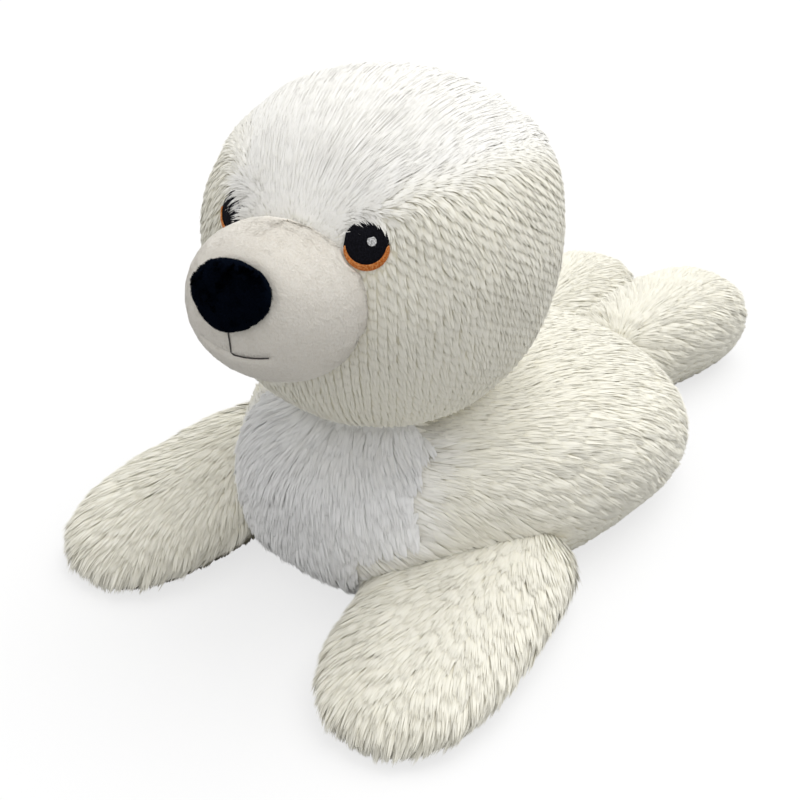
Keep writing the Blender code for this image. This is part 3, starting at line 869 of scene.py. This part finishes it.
def make_flipper(node, tip_side, context):
    """A flipper whose pile fans out from its root. Tip side is -1 where it points forward and 1 behind."""
    sizes = context.scene.seal_sizes
    colours = context.scene.seal_colours
    skin = Skin(f"{node} skin", node, joined=("body",), voxel=0.004, depth=sizes.skin_depth)
    spots = skin.outer
    low, high = (np.array(corner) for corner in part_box(node))
    half = (high - low) / 2.0
    middle = (high + low) / 2.0
    root = middle - BACK * tip_side * half[1] * 1.1
    root[2] = 0.0
    fan = spots - root
    fan[:, 2] = 0.0
    outward = (spots[:, :1] - middle[0]) / half[0]
    comb = unit(fan) + 0.45 * outward * LEFT + 0.45 * DOWN + 0.20 * drift(spots, 0.022)
    comb = unit(flattened(comb, skin.ways)) * (0.993 - 0.3 * skin.under[:, None])
    low = step(-skin.ways[:, 2], -0.15, 0.4)
    pile = sizes.flipper_pile * (1.0 - 0.82 * low)
    cover = step(distances(spots, "body"), -0.004, 0.001) * (1.0 - 0.75 * skin.under)
    skin.dress(comb, pile, cover)
    material = pile_material("cream plush", colours.cream, colours.cream_root_shade, colours.forehead)
    piece = grow_pile(skin, f"{node}_plush", material, sizes.plush_density * 1.3, width=sizes.blade_width)
    settle(piece, [node])


class SEAL_OT_front_flippers(Operator):
    """Makes the two front flippers"""

    bl_idname = "seal.front_flippers"
    bl_label = "Front flippers"

    def execute(self, context):
        for side in SIDES:
            make_flipper(f"{side}_front_flipper", -1.0, context)
        return {"FINISHED"}


class SEAL_OT_hind_flippers(Operator):
    """Makes the two hind flippers"""

    bl_idname = "seal.hind_flippers"
    bl_label = "Hind flippers"

    def execute(self, context):
        for side in SIDES:
            make_flipper(f"{side}_hind_flipper", 1.0, context)
        return {"FINISHED"}


def nap_material(name, dark, light, roughness, sheen, grain_scale):
    """Short nap whose random lighter patches are painted sheen of nap brushed up, and whose tips are painted lighter
    than its roots as painted shade at the roots.
    """
    material, shader, start = new_material(name, roughness, sheen=sheen)
    spots = start.node("ShaderNodeTexCoord", output="Object")
    along = start.node("ShaderNodeAttribute", output="Fac", attribute_name="along")
    tint = start.node("ShaderNodeAttribute", output="Fac", attribute_name="tint")
    broad = start.node("ShaderNodeTexNoise", {"Vector": spots, "Scale": 60.0, "Detail": 3.0})
    fine = start.node("ShaderNodeTexNoise", {"Vector": spots, "Scale": grain_scale, "Detail": 2.0})
    # Random lighter patches are painted sheen, and along gives lighter tips over painted shade at the roots.
    share = broad.ramp(0.3, 0.7) * 0.12 + fine.ramp(0.3, 0.7) * 0.38 + along * 0.4 + tint * 0.1
    colour = start.node("ShaderNodeMix", {0: share, 6: opaque(dark), 7: opaque(light)}, 2, data_type="RGBA")
    feed(material, colour, shader, "Base Color")
    bump = start.node("ShaderNodeBump", {"Strength": 0.5, "Distance": 0.0006, "Height": fine})
    feed(material, bump, shader, "Normal")
    return material


def polyline(node):
    """The run of a thread's solid from one end to the other, as a smooth curve of points about 0.5 mm apart."""
    mesh = node_mesh(node)
    spots = np.array([vert.co for vert in mesh.verts])
    mesh.free()
    way = np.linalg.svd(spots - spots.mean(0), full_matrices=False)[2][0]
    run = (spots - spots.mean(0)) @ way
    places_along = np.linspace(run.min(), run.max(), max(4, int(np.ptp(run) / 0.0005)))
    return np.stack([np.polyval(np.polyfit(run, spots[:, axis], 3), places_along) for axis in range(3)], axis=1)


def away_from_line(spots, line):
    """Distance of each point to a polyline."""
    best = np.full(len(spots), 1.0)
    for start, end in zip(line, line[1:]):
        run = end - start
        share = np.clip(((spots - start) @ run) / (run @ run), 0.0, 1.0)
        best = np.minimum(best, np.linalg.norm(spots - start - share[:, None] * run, axis=1))
    return best


class SEAL_OT_muzzle(Operator):
    """Makes the velour muzzle, drawn in along the stitches of the mouth"""

    bl_idname = "seal.muzzle"
    bl_label = "Muzzle"

    def execute(self, context):
        sizes = context.scene.seal_sizes
        colours = context.scene.seal_colours
        skin = Skin("muzzle skin", "muzzle", joined=("head",), voxel=0.0012, depth=0.0006, lumps=0.0)
        spots = places(skin.mesh)
        crease = np.zeros(len(spots))
        for node, depth in (("mouth_line", 0.0011), ("mouth_smile", 0.0016)):
            away = away_from_line(spots, polyline(node))
            crease = np.maximum(crease, depth * np.exp(-((away / 0.0019) ** 2)))
        nose = distances(spots, "nose")
        crease = np.maximum(crease, 0.0007 * np.exp(-((nose / 0.0022) ** 2)))
        place_all(skin.mesh, spots - skin.ways * crease[:, None])
        skin.ways = normals(skin.mesh)
        across, behind, above = head_axes(spots)
        comb = 0.9 * DOWN + 0.25 * HEAD_FRONT + 0.35 * np.clip(across / 0.02, -1.0, 1.0)[:, None] * HEAD_LEFT + 0.2 * drift(spots, 0.012)
        comb = unit(flattened(comb, skin.ways)) * 0.965
        cover = step(distances(skin.outer, "head"), -0.003, -0.0015) * step(nose, -0.0005, 0.0008)
        skin.dress(comb, np.full(len(spots), sizes.velour_nap), cover)
        # The velour's lighter colour is painted sheen, and its base colour at the nap's roots is painted shade.
        material = nap_material("beige velour", colours.velour, colours.velour_sheen, 0.8, 0.25, 900.0)
        piece = grow_pile(
            skin, "muzzle_velour", material, sizes.nap_density, lock="short", gather=0.0, stray=0.2, width=0.0006, tuft=0.0016, bulge=20.0
        )
        settle(piece, ["muzzle"])
        return {"FINISHED"}


class SEAL_OT_nose(Operator):
    """Makes the padded velvet nose"""

    bl_idname = "seal.nose"
    bl_label = "Nose"

    def execute(self, context):
        sizes = context.scene.seal_sizes
        colours = context.scene.seal_colours
        skin = Skin("nose skin", "nose", joined=("muzzle",), voxel=0.0012, depth=0.0006, lumps=0.0)
        comb = unit(flattened(0.6 * DOWN + 0.5 * drift(skin.outer, 0.008), skin.ways)) * 0.35
        cover = step(distances(skin.outer, "muzzle"), -0.001, 0.0005)
        skin.dress(comb, np.full(len(skin.outer), sizes.velvet_nap), cover)
        # Painted shade: the velvet's roots take half its colour, standing in for the shade deep in the nap.
        dark = tuple(0.5 * value for value in colours.velvet)
        material = nap_material("black velvet", dark, colours.velvet, 0.9, 0.0, 1100.0)
        material.node_tree.nodes["Principled BSDF"].inputs["Specular IOR Level"].default_value = 0.02
        piece = grow_pile(
            skin, "nose_velvet", material, sizes.velvet_density, lock="short", gather=0.0, stray=0.3, width=0.0006, tuft=0.0016
        )
        settle(piece, ["nose"])
        return {"FINISHED"}


def thread_material(name, colour, light, roughness=0.55, sheen=0.1, gloss=0.15):
    """Embroidery thread with the fine lay of its plies."""
    material, shader, start = new_material(name, roughness, sheen=sheen)
    shader.inputs["Specular IOR Level"].default_value = gloss
    spots = start.node("ShaderNodeTexCoord", output="Object")
    fine = start.node("ShaderNodeTexNoise", {"Vector": spots, "Scale": 1500.0, "Detail": 1.0})
    shade = start.node("ShaderNodeMix", {0: fine.ramp(0.35, 0.7), 6: opaque(colour), 7: opaque(light)}, 2, data_type="RGBA")
    feed(material, shade, shader, "Base Color")
    bump = start.node("ShaderNodeBump", {"Strength": 0.4, "Distance": 0.0002, "Height": fine})
    feed(material, bump, shader, "Normal")
    return material


def sew(name, lines, radius, material, sides=6):
    """Threads along lines of points, as one plain mesh."""
    wires = bmesh.new()
    for line in lines:
        verts = [wires.verts.new(spot) for spot in line]
        for near, far in zip(verts, verts[1:]):
            wires.edges.new((near, far))
    mesh = bpy.data.meshes.new(name)
    wires.to_mesh(mesh)
    wires.free()
    values = {"Radius": radius, "Sides": sides, "Material": material}
    return linked(name, run_tree(linked(name, mesh), cached_tree("threads", thread_tree), values))


class EyeFace:
    """The round of an embroidered eye, as a plane on the head with the head's surface under it."""

    def __init__(self, side):
        mesh = node_mesh(f"{side}_eye_pupil")
        spots = np.array([vert.co for vert in mesh.verts])
        mesh.free()
        self.middle = (spots.max(0) + spots.min(0)) / 2.0
        self.out = np.linalg.svd(spots - spots.mean(0), full_matrices=False)[2][2]
        self.out *= math.copysign(1.0, float(self.out @ (self.middle - HEAD_MIDDLE)))
        self.across = unit(np.cross(UP, self.out)[None])[0]
        self.up = np.cross(self.out, self.across)
        self.radius = float(np.linalg.norm(spots - self.middle, axis=1).max())

    def spot(self, across, upward, above):
        """A point above the head's surface."""
        start = self.middle + self.across * across + self.up * upward + self.out * 0.02
        hit, _, _, _ = TREES["head"].ray_cast(Vector(start), Vector(-self.out))
        base = np.array(hit) if hit else start - self.out * 0.02
        return base + self.out * above

    def chords(self, radius, spacing, tilt, above, crown, keep=lambda across, upward: True, centre=(0.0, 0.0)):
        """Straight stitches side by side over a disc, cut to what is kept of it."""
        lines = []
        way = np.array((math.cos(tilt), math.sin(tilt)))
        beside = np.array((-way[1], way[0]))
        count = int(2.0 * radius / spacing)
        for index in range(count):
            offset = -radius + spacing * (index + 0.5)
            half = math.sqrt(max(radius**2 - offset**2, 0.0))
            run = []
            for share in np.linspace(-1.0, 1.0, 11):
                flat = np.array(centre) + beside * offset + way * half * share
                if keep(*flat):
                    height = above + crown * (1.0 - (flat @ flat) / radius**2)
                    run.append(self.spot(flat[0], flat[1], height + 0.00008 * (index % 2)))
                elif len(run) > 1:
                    break
                else:
                    run = []
            if len(run) > 1:
                lines.append(run)
        return lines


class SEAL_OT_eyes(Operator):
    """Makes the embroidered eyes, stitch by stitch"""

    bl_idname = "seal.eyes"
    bl_label = "Eyes"

    def execute(self, context):
        sizes = context.scene.seal_sizes
        colours = context.scene.seal_colours
        black = thread_material("black thread", colours.pupil, tuple(2.5 * value for value in colours.pupil), 0.6, 0.0, 0.06)
        orange = thread_material("orange thread", colours.rim, colours.rim_light)
        white = thread_material("white thread", tuple(0.5 * value for value in colours.glint), colours.glint)
        for side in SIDES:
            eye = EyeFace(side)
            radius = eye.radius
            lines = eye.chords(radius, 1.7 * sizes.thread, math.radians(82.0), 0.0004, 0.0011)
            lines += eye.chords(radius * 0.96, 2.4 * sizes.thread, math.radians(8.0), 0.0001, 0.0011)
            settle(sew(f"{side}_eye_black", lines, sizes.thread, black), [f"{side}_eye_pupil"])
            rim = []
            steps = 64
            for index in range(steps + 1):
                angle = math.radians(188.0 + 164.0 * index / steps)
                swell = math.sin(math.pi * index / steps) ** 0.7
                inner = radius * 0.93
                outer = radius * (1.0 + 0.16 * swell)
                run = []
                for share in (0.0, 0.33, 0.66, 1.0):
                    reach = inner + (outer - inner) * share
                    slant = angle + 0.12 * share
                    height = 0.0010 - 0.0006 * share**2 + 0.0003 * math.sin(math.pi * share)
                    run.append(eye.spot(reach * math.cos(slant), reach * math.sin(slant), height))
                rim.append(run)
            for reach, height in ((0.93, 0.0013), (0.965, 0.0013)):
                angles = np.radians(np.linspace(190.0, 350.0, 60))
                rim.append([eye.spot(*(radius * reach * way), height) for way in np.stack((np.cos(angles), np.sin(angles)), 1)])
            settle(sew(f"{side}_eye_crescent", rim, sizes.thread, orange), [f"{side}_eye_rim"])
            glint = np.array(middle_of(f"{side}_eye_glint")) - eye.middle
            centre = (float(glint @ eye.across), float(glint @ eye.up))
            low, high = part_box(f"{side}_eye_glint")
            size = float(high.z - low.z) * 0.42
            lines = eye.chords(size, 1.6 * sizes.thread, math.radians(20.0), 0.0019, 0.0, centre=centre)
            settle(sew(f"{side}_eye_white", lines, sizes.thread, white), [f"{side}_eye_glint"])
        return {"FINISHED"}


class SEAL_OT_mouth(Operator):
    """Makes the thread of the mouth, two plies sunk in the velour"""

    bl_idname = "seal.mouth"
    bl_label = "Mouth"

    def execute(self, context):
        colours = context.scene.seal_colours
        dark = thread_material("dark thread", colours.mouth, tuple(2.0 * value for value in colours.mouth), 0.7)
        for node in ("mouth_line", "mouth_smile"):
            line = polyline(node)
            run = unit(np.gradient(line, axis=0))
            side = unit(np.cross(run, HEAD_FRONT[None]))
            if node == "mouth_smile":
                aside = (line - line.mean(0)) @ HEAD_LEFT
                sunk = 0.0017 + 0.0022 * step(-aside, -0.001, 0.004)
            else:
                sunk = np.full(len(line), 0.0016)
            lines = []
            for ply in (0.0, math.pi):
                turn = ply + np.arange(len(line)) * 0.4
                twist = 0.00006 * (np.cos(turn)[:, None] * side + np.sin(turn)[:, None] * HEAD_FRONT)
                lines.append(line - HEAD_FRONT * sunk[:, None] + twist)
            settle(sew(f"{node}_thread", lines, 0.00026, dark), [node])
        return {"FINISHED"}


def seen_rays(wire):
    """1 for the rays that show the background: the camera's own, and those by gloss and through glass."""
    camera = wire.node("ShaderNodeLightPath", output="Is Camera Ray")
    return (camera + camera.also("Is Glossy Ray") + camera.also("Is Transmission Ray")).number("MINIMUM", 1.0)


class SEAL_OT_stage(Operator):
    """Makes the pale floor, the lamps and the camera"""

    bl_idname = "seal.stage"
    bl_label = "Stage"

    def execute(self, context):
        stage = context.scene.seal_stage
        colours = context.scene.seal_colours
        bpy.ops.mesh.primitive_plane_add(size=8.0, location=(0.0, 0.0, 0.0))
        floor = context.object
        floor.name = "floor"
        material, shader, start = new_material("pale floor", 0.9)
        seen = seen_rays(start)
        bounce = opaque(tuple(0.32 * value for value in colours.floor))
        shade = start.node("ShaderNodeMix", {0: seen, 6: bounce, 7: opaque(colours.floor)}, 2, data_type="RGBA")
        feed(material, shade, shader, "Base Color")
        glow = start.node("ShaderNodeEmission", {"Color": (1.0, 1.0, 1.0, 1.0), "Strength": 1.0}, "Emission")
        finish = material.node_tree.nodes["Material Output"]
        mixed = start.node("ShaderNodeMixShader", {0: seen * 0.71, 1: start, 2: glow})
        material.node_tree.links.new(mixed.socket, finish.inputs["Surface"])
        floor.data.materials.append(material)

        world = bpy.data.worlds.new("soft studio")
        context.scene.world = world
        world.use_nodes = True
        background = world.node_tree.nodes["Background"]
        sky = Wire(world.node_tree, background.outputs[0])
        white = seen_rays(sky)
        strength = white * (1.0 - stage.sky) + stage.sky
        world.node_tree.links.new(strength.socket, background.inputs["Strength"])
        background.inputs["Color"].default_value = (1.0, 1.0, 1.0, 1.0)

        lamp = bpy.data.lights.new("key", "SUN")
        lamp.energy = stage.sun
        lamp.angle = stage.sun_softness
        key = linked("key", lamp)
        key.rotation_euler = Vector((0.10, 0.48, 1.0)).to_track_quat("Z", "Y").to_euler()

        camera = linked("camera", bpy.data.cameras.new("camera"))
        level = math.cos(stage.elevation)
        back = Vector((math.sin(stage.azimuth) * level, -math.cos(stage.azimuth) * level, math.sin(stage.elevation)))
        camera.location = Vector(stage.target) + back * stage.distance
        camera.rotation_euler = back.to_track_quat("Z", "Y").to_euler()
        camera.data.lens = stage.lens
        camera.data.dof.use_dof = False
        context.scene.camera = camera
        context.scene.view_settings.view_transform = "Standard"
        return {"FINISHED"}


STEPS = (
    SEAL_OT_stage,
    SEAL_OT_head,
    SEAL_OT_forehead,
    SEAL_OT_body,
    SEAL_OT_chest,
    SEAL_OT_front_flippers,
    SEAL_OT_hind_flippers,
    SEAL_OT_muzzle,
    SEAL_OT_nose,
    SEAL_OT_eyes,
    SEAL_OT_mouth,
)


class SEAL_PT_panel(Panel):
    """Lists the steps that dress the seal"""

    bl_idname = "SEAL_PT_panel"
    bl_label = "Plush seal"
    bl_space_type = "VIEW_3D"
    bl_region_type = "UI"
    bl_category = "Seal"

    def draw(self, context):
        for step_class in STEPS:
            self.layout.operator(step_class.bl_idname)
        for group in (context.scene.seal_sizes, context.scene.seal_colours, context.scene.seal_stage):
            for name in group.bl_rna.properties.keys():
                if name not in ("rna_type", "name"):
                    self.layout.prop(group, name)


CLASSES = (SealSizes, SealColours, SealStage, *STEPS, SEAL_PT_panel)
GROUPS = {"seal_sizes": SealSizes, "seal_colours": SealColours, "seal_stage": SealStage}


def register():
    for item in CLASSES:
        bpy.utils.register_class(item)
    for name, group in GROUPS.items():
        setattr(bpy.types.Scene, name, PointerProperty(type=group))


def unregister():
    for name in GROUPS:
        delattr(bpy.types.Scene, name)
    for item in reversed(CLASSES):
        bpy.utils.unregister_class(item)


def main():
    register()
    for step_class in STEPS:
        group, name = step_class.bl_idname.split(".")
        getattr(getattr(bpy.ops, group), name)()
    for shape in LOCKS.values():
        bpy.data.objects.remove(shape)


if __name__ == "__main__":
    main()
